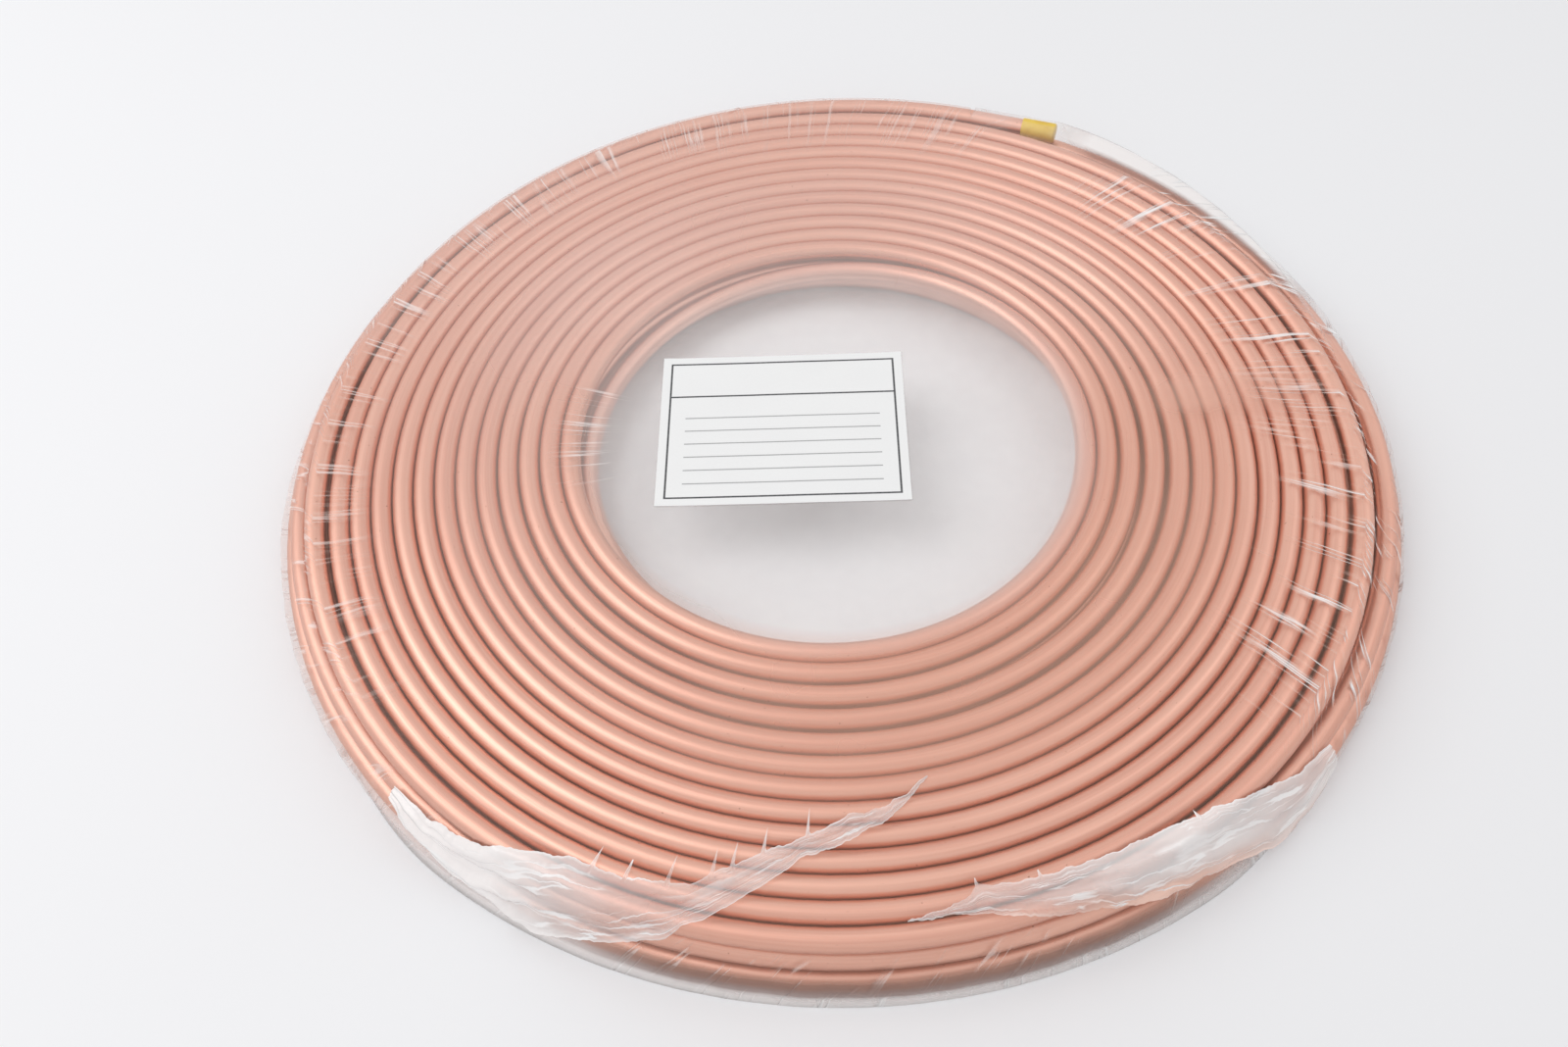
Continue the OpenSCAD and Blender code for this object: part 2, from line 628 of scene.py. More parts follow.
@dataclass
class Winding:
    """Sizes of the winding in millimetres, and the route of its tube."""

    tube_d: float = 6.35
    layer_rise: float = 6.55
    bottom_z: float = 3.975
    outer_r: float = 171.8
    middle_r: float = 168.55
    inner_r: float = 80.8
    middle_inner_r: float = 77.55
    pressed: float = 7.6
    pressed_angle: float = 268.0
    whole_laps: int = 13
    spare_lap: float = 0.35
    step_turns: float = 0.14
    step_angle: float = 120.0
    inner_end: float = 265.0
    end_r: float = 165.3
    end_turn: float = 67.0
    tail: float = 31.5
    top_pitch: float = 6.44
    top_start_r: float = 162.5
    first_apart: float = 1.0
    first_pressed: float = 0.9
    spring_out: float = 1.8
    spring_turns: float = 0.25
    loose_from: float = 8.3
    loose_turns: float = 3.0
    loose_shift: float = 0.45
    loose_angle: float = 141.0
    dive_from: float = 12.81
    dive_to: float = 13.23
    steps: int = 120

    @property
    def laps(self) -> float:
        """Laps of a lower layer from its innermost turn to its widest."""
        return self.whole_laps + self.spare_lap

    @property
    def lag(self) -> float:
        """Turns from where the steps of the middle layer end to where that layer starts."""
        return ((self.end_turn - self.step_angle) / 360 + self.dive_to) % 1

    @property
    def drop_at(self) -> float:
        """Turns of the middle layer before it steps down to the bottom layer."""
        return self.whole_laps + 1 - self.step_turns - self.lag

    @property
    def bottom_turns(self) -> float:
        """Turns of the bottom layer, up to the tube's inner end."""
        return self.whole_laps + (self.inner_end - self.step_angle) / 360

    @property
    def all_turns(self) -> float:
        """Turns from the free outer end to the inner end."""
        return self.dive_to + self.drop_at + self.step_turns + self.bottom_turns

    def height(self, layer: Layer) -> float:
        """Height of the tube's middle in a layer."""
        return self.bottom_z + layer.value * self.layer_rise

    def angle(self, turns: float) -> float:
        """Direction after some turns from the free outer end, in radians."""
        return math.radians(self.end_turn) + turns * FULL_TURN

    def near(self, angle: float) -> float:
        """How far a direction, in radians, is on the side that is pressed in, from 0 to 1."""
        return max(0.0, math.cos(angle - math.radians(self.pressed_angle))) ** 1.2

    def top_radius(self, turns: float) -> float:
        """Radius of the top layer after some turns from the free outer end.

        Args:
            turns: Turns, counter-clockwise and inwards.

        Returns:
            Radius in millimetres: the end springs out, the first turn lies apart from the second, and
            the inner turns lie loose on one side.
        """
        spring = max(0.0, 1 - turns / self.spring_turns) ** 1.5 * self.spring_out
        apart = self.first_apart - self.first_pressed * self.near(self.angle(turns))
        apart *= 1 - smooth_step(0.85, 1.25, turns)
        loose = min(max(turns - self.loose_from, 0.0), self.loose_turns) * self.loose_shift
        off_side = 1 - math.cos(self.angle(turns) - math.radians(self.loose_angle))
        return self.top_start_r - self.top_pitch * turns + spring + apart - loose * off_side

    def lower_radius(self, layer: Layer, laps: float, angle: float) -> float:
        """Radius of a lower layer, which is pressed in on its near side.

        Args:
            layer: The middle or the bottom layer.
            laps: Laps outwards from its innermost turn.
            angle: Direction, in radians.

        Returns:
            Radius in millimetres.
        """
        low = layer is Layer.BOTTOM
        inner, outer = (self.inner_r, self.outer_r) if low else (self.middle_inner_r, self.middle_r)
        return inner + (outer - self.pressed * self.near(angle) - inner) * laps / self.laps

    def stepped(self, turns: float) -> float:
        """Whole laps after some turns, with a short step up at the end of each."""
        whole = math.floor(turns)
        return whole + smooth_step(1 - self.step_turns, 1.0, turns - whole)

    def middle_laps(self, turns: float) -> float:
        """Laps outwards after some turns of the middle layer: a spiral that evens out into rings."""
        rings = min(self.stepped(turns + self.lag), self.whole_laps) + self.spare_lap
        return turns + min(turns / self.drop_at, 1.0) * (rings - turns)

    def bottom_laps(self, turns: float) -> float:
        """Laps outwards after some turns of the bottom layer: rings that turn into a spiral."""
        rings = self.stepped(turns + self.step_turns)
        gone = turns + max(1 - turns / self.laps, 0.0) * (rings - turns)
        return max(self.laps - gone, 0.0)

    def spot(self, turns: float) -> Vector:
        """Point of the tube's middle line.

        Args:
            turns: Turns from the free outer end, through the three layers.

        Returns:
            The point in metres.
        """
        angle = self.angle(turns)
        top, middle, bottom = (self.height(x) for x in (Layer.TOP, Layer.MIDDLE, Layer.BOTTOM))
        if turns < self.dive_to:
            dive = smooth_step(self.dive_from, self.dive_to, turns)
            edge = self.top_radius(turns)
            return polar(edge + (self.middle_inner_r - edge) * dive, angle, top + (middle - top) * dive)
        out = turns - self.dive_to
        inwards = out - self.drop_at - self.step_turns
        if inwards < 0:
            drop = smooth_step(-self.step_turns, 0.0, inwards)
            start = self.lower_radius(Layer.MIDDLE, self.middle_laps(out), angle)
            end = self.lower_radius(Layer.BOTTOM, self.laps, angle)
            return polar(start + (end - start) * drop, angle, middle + (bottom - middle) * drop)
        return polar(self.lower_radius(Layer.BOTTOM, self.bottom_laps(inwards), angle), angle, bottom)

    def outer_end(self, along: float) -> Matrix:
        """Place of the straight outer end.

        Args:
            along: Distance from where it leaves the coil, in millimetres.

        Returns:
            A matrix whose +Z runs along the end, towards its cap.
        """
        turn = Matrix.Rotation(math.radians(self.end_turn), 4, "Z")
        shift = Vector((self.end_r, -along, self.height(Layer.TOP))) * MM
        return turn @ Matrix.Translation(shift) @ Matrix.Rotation(math.pi / 2, 4, "X")

    def route(self) -> list[Vector]:
        """The tube's middle line from its capped end to its inner end, in metres."""
        tail = [self.outer_end(self.tail * share).translation for share in (1.0, 0.75, 0.5, 0.25)]
        count = int(self.all_turns * self.steps)
        return tail + [self.spot(step / self.steps) for step in range(count + 1)]


@dataclass
class WoundTube:
    """The copper tube, swept along its winding."""

    winding: Winding
    finish: CopperFinish = field(default_factory=CopperFinish)
    round_steps: int = 5

    def build(self) -> Piece:
        """Sweeps the tube and makes it a mesh.

        Returns:
            The tube, with its run along the route stored on it.
        """
        route = self.winding.route()
        line = bpy.data.curves.new("wound_tube", "CURVE")
        line.dimensions = "3D"
        line.twist_mode = "Z_UP"
        line.bevel_depth = self.winding.tube_d / 2 * MM
        line.bevel_resolution = self.round_steps
        line.use_fill_caps = True
        spline = line.splines.new("POLY")
        spline.points.add(len(route) - 1)
        for point, place in zip(spline.points, route):
            point.co = (*place, 1.0)
        tube = bpy.data.objects.new("wound_tube", line)
        bpy.context.scene.collection.objects.link(tube)
        focus(tube)
        bpy.ops.object.convert(target="MESH")
        tube = bpy.context.active_object
        self.mark_run(tube, route)
        shade(tube, 60.0)
        return tube

    def mark_run(self, tube: Piece, route: Sequence[Vector]) -> None:
        """Stores how far along the tube each of its points lies.

        Args:
            tube: The swept tube, ring after ring.
            route: Its middle line.
        """
        steps = [0.0] + [(b - a).length for a, b in zip(route, route[1:])]
        run = np.cumsum(steps)
        sides = len(tube.data.vertices) // len(route)
        rings = np.minimum(np.arange(len(tube.data.vertices)) // sides, len(route) - 1)
        set_values(tube, "along", run[rings])
        LOG.info("tube length %.2f m, %d sides", run[-1], sides)

    def dress(self) -> None:
        """Builds the tube and hands it over."""
        hand_over(self.build(), self.finish.material(), Slot.COPPER, ["tube_coil"])


@dataclass
class EndCap:
    """Moulded cap on the free outer end, in millimetres."""

    winding: Winding
    finish: CapFinish = field(default_factory=CapFinish)
    bare: float = 20.0
    length: float = 12.7
    end_wall: float = 1.2
    radius: float = 3.625
    wall: float = 0.4
    rounding: float = 0.8
    soft_edge: float = 0.12
    sides: int = 40

    def build(self) -> Piece:
        """Models the cap along +Z from its open mouth, then puts it on the tube.

        Returns:
            The cap.
        """
        start_fresh()
        middle = (0, 0, self.length / 2 * MM)
        bpy.ops.mesh.primitive_cylinder_add(
            vertices=self.sides, radius=self.radius * MM, depth=self.length * MM, location=middle
        )
        cap = bpy.context.active_object
        cap.name = cap.data.name = "end_cap"
        bpy.ops.object.transform_apply(location=True)
        self.pick(cap, lambda z: z > (self.length - 0.01) * MM)
        bpy.ops.mesh.bevel(offset=self.rounding * MM, segments=5, affect="EDGES")
        bpy.ops.object.mode_set(mode="OBJECT")
        self.pick(cap, lambda z: z < 0.01 * MM)
        bpy.ops.mesh.inset(thickness=self.wall * MM, use_boundary=True)
        depth = (0, 0, (self.length - self.end_wall) * MM)
        bpy.ops.mesh.extrude_region_move(TRANSFORM_OT_translate={"value": depth})
        bpy.ops.object.mode_set(mode="OBJECT")
        apply_modifier(cap, "BEVEL", width=self.soft_edge * MM, segments=2, limit_method="ANGLE")
        cap.matrix_world = self.winding.outer_end(self.bare)
        focus(cap)
        bpy.ops.object.transform_apply(location=True, rotation=True)
        shade(cap)
        return cap

    def pick(self, cap: Piece, test: Callable[[float], bool]) -> None:
        """Selects some of the level faces, in edit mode.

        Args:
            cap: The cap.
            test: Says from a face's height, in metres, whether it is one of them.
        """
        edit_all(cap)
        bpy.ops.mesh.select_all(action="DESELECT")
        bpy.ops.mesh.select_mode(type="FACE")
        bpy.ops.object.mode_set(mode="OBJECT")
        for face in cap.data.polygons:
            face.select = abs(face.normal.z) > 0.9 and test(face.center.z)
        bpy.ops.object.mode_set(mode="EDIT")

    def dress(self) -> None:
        """Builds the cap and hands it over."""
        hand_over(self.build(), self.finish.material(), Slot.CAP, ["outer_end_cap"])


@dataclass
class FilmWear:
    """Haze, painted bounce light from the copper, painted shade and creases of the film over the coil, by its
    points.
    """

    crown: Callable[[float], float]
    top_haze: float = 0.03
    # The top veil is thicker on the far and left sides: partly the film's own haze, partly painted light that
    # makes those sides lighter and whiter.
    far_haze: float = 0.34
    left_painted_light: float = 0.18
    near_haze: Stretch = Stretch(255, 330, 25, 0.15)
    top_radii: Ramp = Ramp(70, 80)
    on_cap: Patch = Patch(Stretch(53, 60, 3, 0.5), radii=Stretch(160, 178, 4))
    taut: Patch = Patch(Stretch(168, 200, 8, 0.6), radii=Ramp(146, 156))
    # The veil over the loose inner turns is partly the film's haze, partly painted light that lifts the shade
    # in the grooves.
    inner_haze: float = 0.28
    inner_far_loss: float = 0.12
    loose_haze: Stretch = Stretch(262, 370, 30, 0.17)
    inner_radii: Stretch = Stretch(80, 114, 16)
    # The veil over the bore is partly the film's milkiness, partly painted light that lifts the label's
    # shadow on the floor.
    bore_haze: float = 0.6
    bore_edge: Ramp = Ramp(66, 82)
    side_haze: float = 0.08
    slack_haze: Stretch = Stretch(178, 246, 10, 0.12)
    side_heights: Ramp = Ramp(19.95, 13)
    white_skirt: Stretch = Stretch(22, 49, 8)
    skirt_haze: float = 0.8
    skirt_top_haze: float = 0.75
    skirt_heights: Ramp = Ramp(5, 14)
    skirt_reach: Ramp = Ramp(3, 7)
    smear: Patch = Patch(Stretch(0, 3, 4, 0.45), radii=Stretch(114, 134, 20))
    foot: Patch = Patch(Stretch(222, 304, 16, 0.9), heights=Stretch(0.5, 1.0, 0.4))
    # Painted shade: the film darkens low on the near rim, where the copper's underside lies in shade.
    painted_shade_haze: float = 1.2
    painted_shade_rim: Patch = Patch(Stretch(252, 292, 18, 0.85), heights=Stretch(3.2, 7.0, 1.8))
    painted_shade_reach: Ramp = Ramp(0, 2)
    # Painted bounce light from the copper: the film over the copper takes its colour, less on the far and
    # left sides and on the skirt.
    least_glow: float = 0.1
    glow_radii: Ramp = Ramp(74, 82)
    glow_far_shift: float = 12.0
    far_cooling: float = 0.5
    left_cooling: float = 0.3
    glow_heights: Ramp = Ramp(3, 8)
    cool_skirt: Stretch = Stretch(12, 70, 8)
    cool_reach: Ramp = Ramp(2, 6)
    right_creases: Patch = Patch(Stretch(-40, 40, 10), radii=Ramp(122, 146))
    far_left_creases: Patch = Patch(Stretch(98, 206, 10, 0.6), radii=Ramp(142, 154))
    far_creases: Patch = Patch(Stretch(66, 100, 6, 0.3), radii=Ramp(130, 150))
    bore_creases: Patch = Patch(Stretch(166, 190, 4, 0.7), radii=Stretch(74, 82, 5))
    side_creases: float = 0.5
    skirt_creases: Stretch = Stretch(20, 52, 8, 0.4)
    crease_heights: Ramp = Ramp(19.95, 12)

    def far_and_left(self, spot: Spot) -> Point:
        """How far a point is on the far side, and on the left, from 0 to 1."""
        angle = math.radians(spot.degrees)
        return smooth_step(-0.2, 0.9, math.sin(angle)), smooth_step(0.0, 1.0, -math.cos(angle))

    def beyond(self, spot: Spot) -> float:
        """How far out a point lies from the outermost top turn, in millimetres."""
        return spot.radius - self.crown(spot.degrees)

    def haze(self, spot: Spot) -> float:
        """Haziness of the film at a point.

        Args:
            spot: The point.

        Returns:
            A number that is 0 for clear film and about 1 for white film.
        """
        far, left = self.far_and_left(spot)
        top = self.top_haze + self.far_haze * far + self.left_painted_light * left + self.near_haze.at(spot.degrees)
        top *= self.top_radii.at(spot.radius) * (1 - self.on_cap.at(spot) - self.taut.at(spot))
        inner = self.inner_haze - self.inner_far_loss * far + self.loose_haze.at(spot.degrees)
        inner *= self.inner_radii.at(spot.radius)
        bore = self.bore_haze * (1 - self.bore_edge.at(spot.radius))
        side = self.side_heights.at(spot.height) * (self.side_haze + self.slack_haze.at(spot.degrees))
        skirt = self.skirt_haze + self.skirt_top_haze * self.skirt_heights.at(spot.height)
        skirt *= self.white_skirt.at(spot.degrees) * self.skirt_reach.at(self.beyond(spot))
        # Painted shade also thickens the film low on the near rim.
        dull = self.painted_shade_haze * self.shade(spot)
        return top + inner + bore + side + skirt + self.smear.at(spot) + self.foot.at(spot) + dull

    def warmth(self, spot: Spot) -> float:
        """How much painted bounce light from the copper the film has at a point.

        Args:
            spot: The point.

        Returns:
            A number from 0 to 1.
        """
        far, left = self.far_and_left(spot)
        glow = smooth_step(self.glow_radii.low - self.glow_far_shift * far, self.glow_radii.high, spot.radius)
        glow *= (1 - self.far_cooling * far) * (1 - self.left_cooling * left)
        cool = self.cool_reach.at(self.beyond(spot)) * self.cool_skirt.at(spot.degrees)
        glow *= (1 - cool) * self.glow_heights.at(spot.height)
        return self.least_glow + (1 - self.least_glow) * glow

    def shade(self, spot: Spot) -> float:
        """Painted shade of the film at a point, from 0 to 1: dark low on the near rim, where the copper's
        underside lies in shade.
        """
        return self.painted_shade_reach.at(self.beyond(spot)) * self.painted_shade_rim.at(spot)

    def crease(self, spot: Spot) -> float:
        """Creasing of the film at a point.

        Args:
            spot: The point.

        Returns:
            A number from 0 to 1.
        """
        patches = (self.right_creases, self.far_left_creases, self.far_creases, self.bore_creases)
        side = self.side_creases + self.skirt_creases.at(spot.degrees)
        side *= self.crease_heights.at(spot.height)
        return min(1.0, max(side, *(patch.at(spot) for patch in patches)))


@dataclass(frozen=True)
class Corner:
    """A corner of the film's section, and how it moves where the film is loose, in millimetres."""

    out: float
    height: float
    ruffle: float = 0.0
    slack: float = 0.0
    spread: float = 0.0
    sag_out: float = 0.0
    sag_up: float = 0.0


@dataclass
class Wrap:
    """The clear film over the coil, and the form that it takes, in millimetres."""

    winding: Winding
    finish: FilmFinish = field(default_factory=FilmFinish)
    top_z: float = 20.95
    clearance: float = 0.65
    least_clearance: float = 0.25
    edge_inset: float = 0.5
    return_r: float = 136.0
    under_z: float = 0.3
    under_r: float = 160.0
    under_lift: float = 0.12
    under_ripple: float = 0.05
    under_haze: float = 0.12
    under_round: int = 180
    under_rows: int = 24
    cap_angle: float = 55.8
    cap_clearance: float = 4.2
    skirt_end: float = -14.0
    turns_round: int = 540
    top_rows: int = 30
    rim_rows: int = 40
    rim_ease: float = 1.6
    left_slack: Stretch = Stretch(186, 222, 14, 1.3)
    right_slack: Stretch = Stretch(300, 325, 12, 0.2)
    spread_foot: Stretch = Stretch(228, 300, 22)
    ruffles: Sequence[Point] = ((19.0, 0.5), (47.0, 0.3))
    corners: Sequence[Corner] = (
        Corner(-1.5, 20.2, sag_up=-0.6),
        Corner(0.0, 17.0, ruffle=0.3, sag_up=-1.0),
        Corner(0.0, 10.8, ruffle=0.5, slack=1.0, sag_out=1.3, sag_up=1.3),
        Corner(0.0, 4.4, ruffle=0.8, slack=1.0),
        Corner(-1.2, 1.4, ruffle=0.4, slack=0.5, spread=1.7),
        Corner(-4.0, 0.5, spread=4.5),
    )

    def crown(self, degrees: float) -> float:
        """Radius of the outermost top turn in a direction, in millimetres."""
        return self.winding.top_radius(((degrees - self.winding.end_turn) % 360) / 360)

    def top_edge(self, degrees: float) -> float:
        """Radius at which the flat top of the film ends in a direction, in millimetres."""
        return self.crown(degrees) - self.edge_inset

    def stand_off(self) -> float:
        """Distance of the film from the middle of a tube that it touches, in millimetres."""
        return self.winding.tube_d / 2 + self.clearance

    def rim_tubes(self, degrees: float) -> list[Point]:
        """Middles of the outermost tubes.

        Args:
            degrees: Direction of the section.

        Returns:
            Radius and height of each, in millimetres, from the top layer down.
        """
        winding, angle = self.winding, math.radians(degrees)
        radii = [self.crown(degrees)]
        layers = (Layer.TOP, Layer.MIDDLE, Layer.BOTTOM)
        radii += [winding.lower_radius(layer, winding.laps, angle) for layer in layers[1:]]
        return [(radius, winding.height(layer)) for radius, layer in zip(radii, layers)]

    def skirt(self, degrees: float) -> float:
        """How much of the tent beside the capped end there is in a direction, from 0 to 1."""
        share = ((self.cap_angle - degrees) % 360) / (self.cap_angle - self.skirt_end)
        return 1 - smooth_step(0.0, 1.0, share) if share < 1 else 0.0

    def shoulder(self, degrees: float) -> float:
        """Where the film turns down, over the capped end and the tent beside it.

        Args:
            degrees: Direction of the section.

        Returns:
            Radius in millimetres.
        """
        bare = self.crown(degrees) + self.stand_off()
        over_end = self.winding.end_r + self.cap_clearance
        if self.cap_angle <= degrees <= self.winding.end_turn:
            return over_end / math.cos(math.radians(self.winding.end_turn - degrees))
        at_cap = over_end / math.cos(math.radians(self.winding.end_turn - self.cap_angle))
        return bare + max(at_cap - bare, 0.0) * self.skirt(degrees)

    def section(self, degrees: float) -> list[Point]:
        """Radius and height of the film from the outermost top turn down under the coil.

        Args:
            degrees: Direction of the section.

        Returns:
            Corner points of the section, in millimetres.
        """
        angle = math.radians(degrees)
        about = Vector((math.cos(angle), math.sin(angle), 0))
        ruffle = sum(noise.noise(about * often) * high for often, high in self.ruffles)
        slack = self.left_slack.at(degrees) + self.right_slack.at(degrees)
        foot = self.spread_foot.at(degrees)
        shoulder = self.shoulder(degrees)
        sag = 4 * self.skirt(degrees) * (1 - self.skirt(degrees))
        middle, low = (radius + self.stand_off() for radius, _ in self.rim_tubes(degrees)[1:])
        middle = max(middle, (shoulder + low) / 2)
        points = [(self.top_edge(degrees), self.top_z)]
        for start, corner in zip((shoulder, shoulder, middle, low, low, low), self.corners):
            loose = corner.slack * slack + corner.ruffle * ruffle + corner.spread * foot
            radius = start + corner.out + loose + corner.sag_out * sag
            points.append((radius, corner.height + corner.sag_up * sag))
        return [*points, (self.return_r, self.under_z)]

    def rim_line(self, degrees: float, fine: int = 6) -> np.ndarray:
        """The film's section as a smooth line.

        Args:
            degrees: Direction of the section.
            fine: Points for each stretch between corners.

        Returns:
            Rows of run from the outermost top turn, radius and height.
        """
        corners = np.array(self.section(degrees))
        padded = np.vstack([2 * corners[0] - corners[1], corners, 2 * corners[-1] - corners[-2]])
        shares = np.linspace(0, 1, fine, endpoint=False)[:, None]
        spans = []
        for k in range(1, len(padded) - 2):
            before, start, end, after = padded[k - 1 : k + 3]
            spans.append(
                start
                + shares * (end - before) / 2
                + shares**2 * (before - 2.5 * start + 2 * end - after / 2)
                + shares**3 * ((after - before) / 2 + 1.5 * (start - end))
            )
        line = np.vstack([*spans, corners[-1:]])
        reach = self.winding.tube_d / 2 + self.least_clearance
        for tube in self.rim_tubes(degrees):
            away = line - np.array(tube)
            distance = np.linalg.norm(away, axis=1, keepdims=True)
            line = np.where(distance < reach, tube + away / distance * reach, line)
        line[:, 1] = np.clip(line[:, 1], self.under_z, self.top_z)
        run = np.concatenate([[0.0], np.cumsum(np.hypot(*np.diff(line, axis=0).T))])
        return np.column_stack([run, line])

    def lie(self, degrees: float, radius: float) -> Point:
        """Where a point at a distance from the axis comes to lie when it follows the film.

        Args:
            degrees: Its direction.
            radius: Its distance from the axis along the film, in millimetres.

        Returns:
            Its radius and height, in millimetres.
        """
        start = self.top_edge(degrees)
        if radius <= start:
            return radius, self.top_z
        run, radii, heights = self.rim_line(degrees).T
        return float(np.interp(radius - start, run, radii)), float(np.interp(radius - start, run, heights))

    def over_point(self, lines: Sequence[np.ndarray]) -> Place:
        """Gives the function that places the top film's points.

        Args:
            lines: Section of the film in each direction.

        Returns:
            A function of the share round the coil and the share outwards.
        """
        top_share = self.top_rows / (self.top_rows + self.rim_rows)

        def place(around: float, outwards: float) -> Vector:
            """Point of the top film.

            Args:
                around: Share round the coil.
                outwards: Share from the axis to the film's edge.

            Returns:
                The point in metres.
            """
            step = round(around * self.turns_round) % self.turns_round
            angle = step / self.turns_round * FULL_TURN
            run, radii, heights = lines[step].T
            if outwards <= top_share:
                return polar(radii[0] * outwards / top_share, angle, self.top_z)
            distance = ((outwards - top_share) / (1 - top_share)) ** self.rim_ease * run[-1]
            return polar(np.interp(distance, run, radii), angle, np.interp(distance, run, heights))

        return place

    def build_over(self) -> Piece:
        """Lays the film over the top, down the side and a little under the coil.

        Returns:
            The film, with its haze, creases, painted bounce light and painted shade stored on it.
        """
        angles = [step * 360 / self.turns_round for step in range(self.turns_round)]
        lines = [self.rim_line(angle) for angle in angles]
        film = grid_sheet(
            "film_over", self.turns_round, self.top_rows + self.rim_rows, self.over_point(lines)
        )
        wear = FilmWear(self.crown)
        self.mark(film, haze=wear.haze, crease=wear.crease, warmth=wear.warmth, shade=wear.shade)
        shade(film, 180.0)
        return film

    def mark(self, film: Piece, **measures: Callable[[Spot], float]) -> None:
        """Stores numbers on a film for its finish to read.

        Args:
            film: The film.
            measures: Each number's name, and its function of a point.
        """
        spots = [Spot.of(vertex.co) for vertex in film.data.vertices]
        for name, measure in measures.items():
            set_values(film, name, [measure(spot) for spot in spots])

    def build_under(self) -> Piece:
        """Lays the film's underside, a round sheet on the floor.

        Returns:
            The film, with its haze stored on it.
        """

        def place(around: float, outwards: float) -> Vector:
            """Point of the underside from its two shares."""
            angle = around * FULL_TURN
            wave = noise.noise(Vector((math.cos(angle) * 6, math.sin(angle) * 6, outwards * 4)))
            return polar(outwards * self.under_r, angle, self.under_lift + wave * self.under_ripple)

        film = grid_sheet("film_under", self.under_round, self.under_rows, place)
        self.mark(film, haze=lambda spot: self.under_haze)
        shade(film, 180.0)
        return film

    def dress(self) -> None:
        """Builds the two films and hands them over."""
        material = self.finish.material()
        over = self.build_over()
        hand_over(over, material, Slot.FILM, ["film_wrap"])
        under = self.build_under()
        hand_over(under, material, Slot.FILM)


